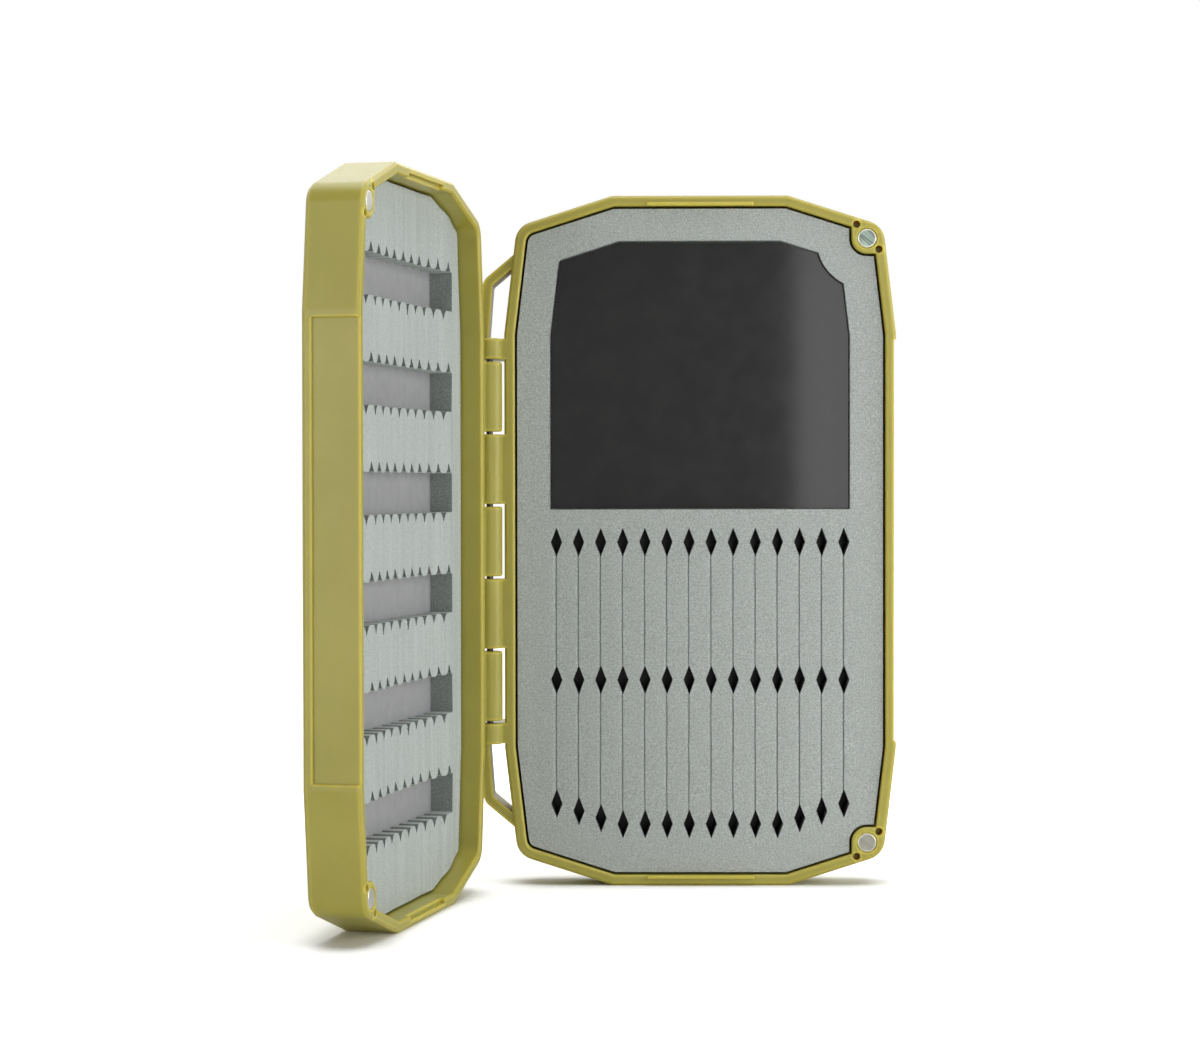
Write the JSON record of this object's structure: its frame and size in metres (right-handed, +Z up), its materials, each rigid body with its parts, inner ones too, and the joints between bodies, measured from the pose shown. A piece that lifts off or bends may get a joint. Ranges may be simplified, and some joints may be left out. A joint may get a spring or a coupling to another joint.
{
  "type": "fly box",
  "caption": "Slim pocket fly box: two hinged half shells with magnetic corners, slit and toothed foam inserts and a magnetic sheet, standing open.",
  "frame": {"origin": "on the ground under the middle of the open box's bounding box, the box standing on the bottom ends of both halves", "axes": "+Z up along the hinge, -Y the side that the tray's foam faces, +X from the hinge towards the tray's free side"},
  "size_m": [0.1464, 0.1196, 0.184],
  "materials": {
    "shell_plastic": "satin translucent olive plastic",
    "pin_steel": "bright drawn steel",
    "magnet_nickel": "nickel plated",
    "magnetic_rubber": "smooth calendered magnetic rubber",
    "adhesive_film": "clear adhesive",
    "backing_sheet": "smooth grey sheet",
    "lid_foam": "closed-cell foam, matt",
    "tray_foam": "closed-cell foam, matt"
  },
  "bodies": {
    "tray": {"tray_shell": "shell_plastic", "hinge_pin": "pin_steel", "tray_magnet_upper": "magnet_nickel", "tray_magnet_lower": "magnet_nickel", "tray_foam_face": "tray_foam", "tray_foam_base": "tray_foam", "tray_adhesive_film": "adhesive_film", "magnetic_sheet": "magnetic_rubber", "sheet_adhesive_film": "adhesive_film"},
    "lid": {"lid_shell": "shell_plastic", "lid_magnet_upper": "magnet_nickel", "lid_magnet_lower": "magnet_nickel", "lid_foam": "lid_foam", "lid_backing_sheet": "backing_sheet", "lid_adhesive_film": "adhesive_film"}
  },
  "joints": [
    {"name": "lid_hinge", "type": "hinge", "parent": "tray", "child": "lid", "pos_m": [-0.03512, 0.04553, 0.092], "axis": [0, 0, -1], "range_deg": [-103, 77]}
  ]
}
